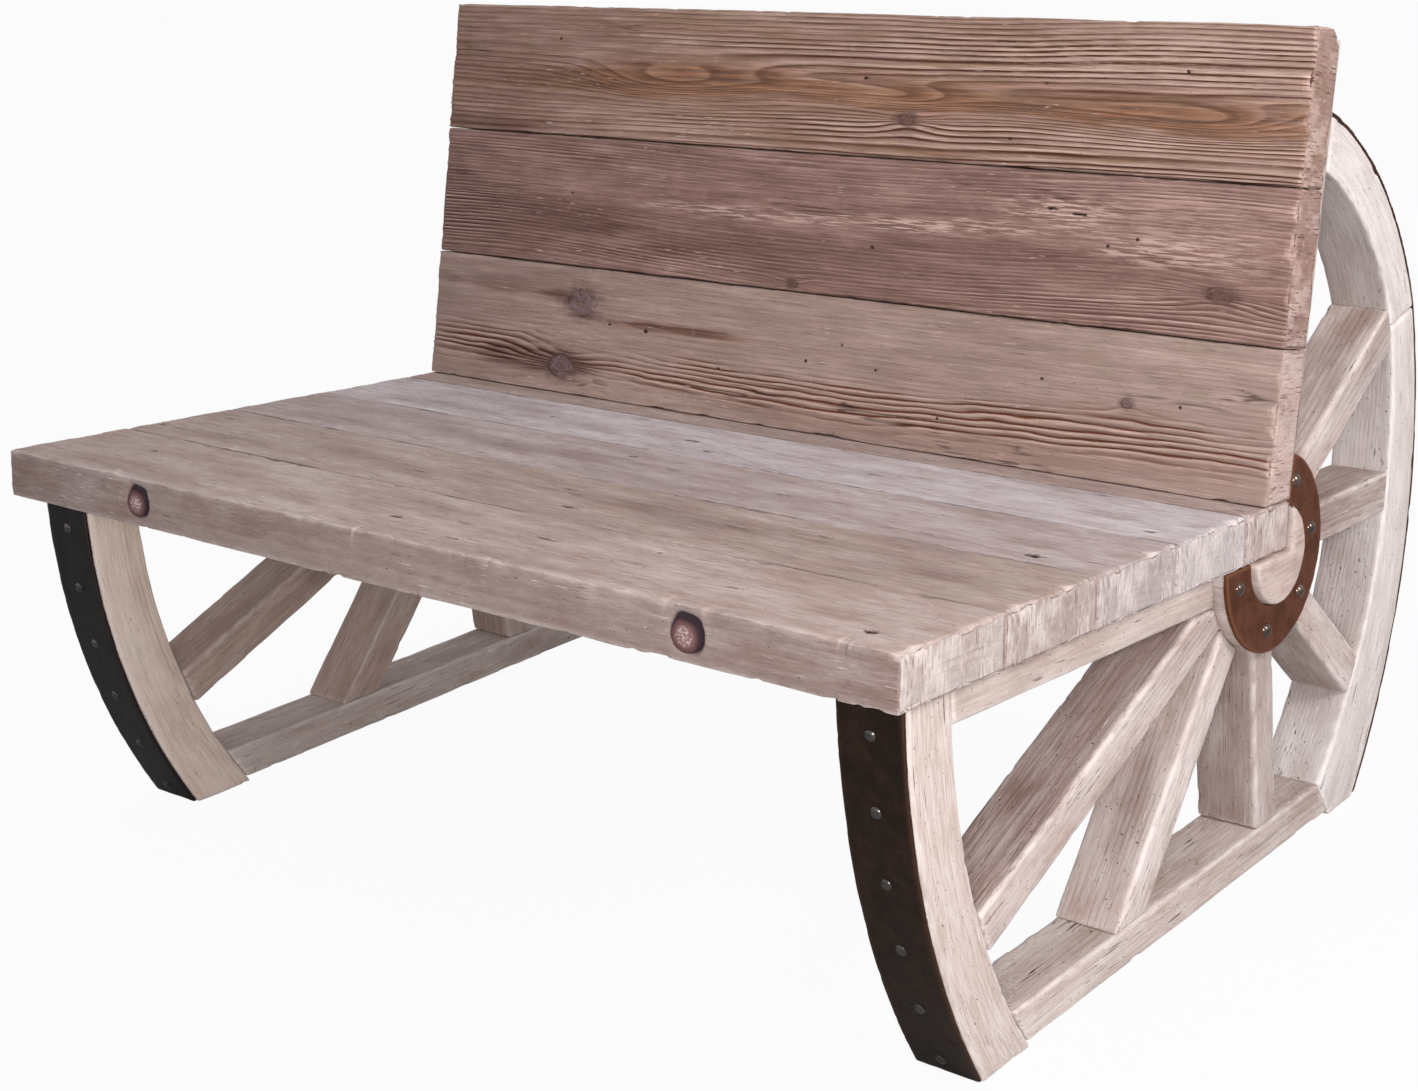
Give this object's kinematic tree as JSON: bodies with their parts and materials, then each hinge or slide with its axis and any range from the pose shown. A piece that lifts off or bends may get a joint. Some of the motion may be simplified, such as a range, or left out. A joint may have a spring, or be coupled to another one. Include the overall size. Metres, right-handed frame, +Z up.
{
  "type": "rustic plank bench",
  "caption": "High-backed garden bench of thick reclaimed planks, carried between two cut-down wooden wagon wheels with iron tyres.",
  "frame": {"origin": "on the floor, under the middle of the overall box", "axes": "+X along the bench, +Y towards its back, +Z up"},
  "size_m": [1.2334, 1.0542, 0.8905],
  "materials": {
    "seat_wood": "weathered, rough sawn, grey-beige",
    "back_wood": "weathered, strongly raised grain, brown-grey",
    "wheel_wood": "weathered, pale and dry",
    "dowel_wood": "plain turned hardwood",
    "tyre_iron": "old forged iron, blackened",
    "nail_steel": "worn bright on the crown",
    "hub_iron": "rusted brown",
    "screw_steel": "plain zinc grey"
  },
  "bodies": {
    "root": {"back_plank_bottom": "back_wood", "back_plank_middle": "back_wood", "back_plank_top": "back_wood", "back_rail_left": "wheel_wood", "back_rail_right": "wheel_wood", "back_screws_left": "screw_steel", "back_screws_right": "screw_steel", "bottom_rail_left": "wheel_wood", "bottom_rail_right": "wheel_wood", "felloe_dowels_left": "dowel_wood", "felloe_dowels_right": "dowel_wood", "front_felloe_left": "wheel_wood", "front_felloe_right": "wheel_wood", "hub_bolts_left": "hub_iron", "hub_bolts_right": "hub_iron", "hub_left": "wheel_wood", "hub_nuts_left": "hub_iron", "hub_nuts_right": "hub_iron", "hub_plate_left": "hub_iron", "hub_plate_right": "hub_iron", "hub_right": "wheel_wood", "hub_washers_left": "hub_iron", "hub_washers_right": "hub_iron", "rear_felloe_lower_left": "wheel_wood", "rear_felloe_lower_right": "wheel_wood", "rear_felloe_upper_left": "wheel_wood", "rear_felloe_upper_right": "wheel_wood", "seat_plank_1": "seat_wood", "seat_plank_2": "seat_wood", "seat_plank_3": "seat_wood", "seat_plank_4": "seat_wood", "seat_plank_5": "seat_wood", "seat_rail_left": "wheel_wood", "seat_rail_right": "wheel_wood", "seat_screws_left": "screw_steel", "seat_screws_right": "screw_steel", "sill_screws": "screw_steel", "spoke_1_left": "wheel_wood", "spoke_1_right": "wheel_wood", "spoke_2_left": "wheel_wood", "spoke_2_right": "wheel_wood", "spoke_3_left": "wheel_wood", "spoke_3_right": "wheel_wood", "spoke_4_left": "wheel_wood", "spoke_4_right": "wheel_wood", "spoke_5_left": "wheel_wood", "spoke_5_right": "wheel_wood", "spoke_6_left": "wheel_wood", "spoke_6_right": "wheel_wood", "tyre_front_left": "tyre_iron", "tyre_front_right": "tyre_iron", "tyre_nails_left": "nail_steel", "tyre_nails_right": "nail_steel", "tyre_rear_left": "tyre_iron", "tyre_rear_right": "tyre_iron"}
  },
  "joints": []
}
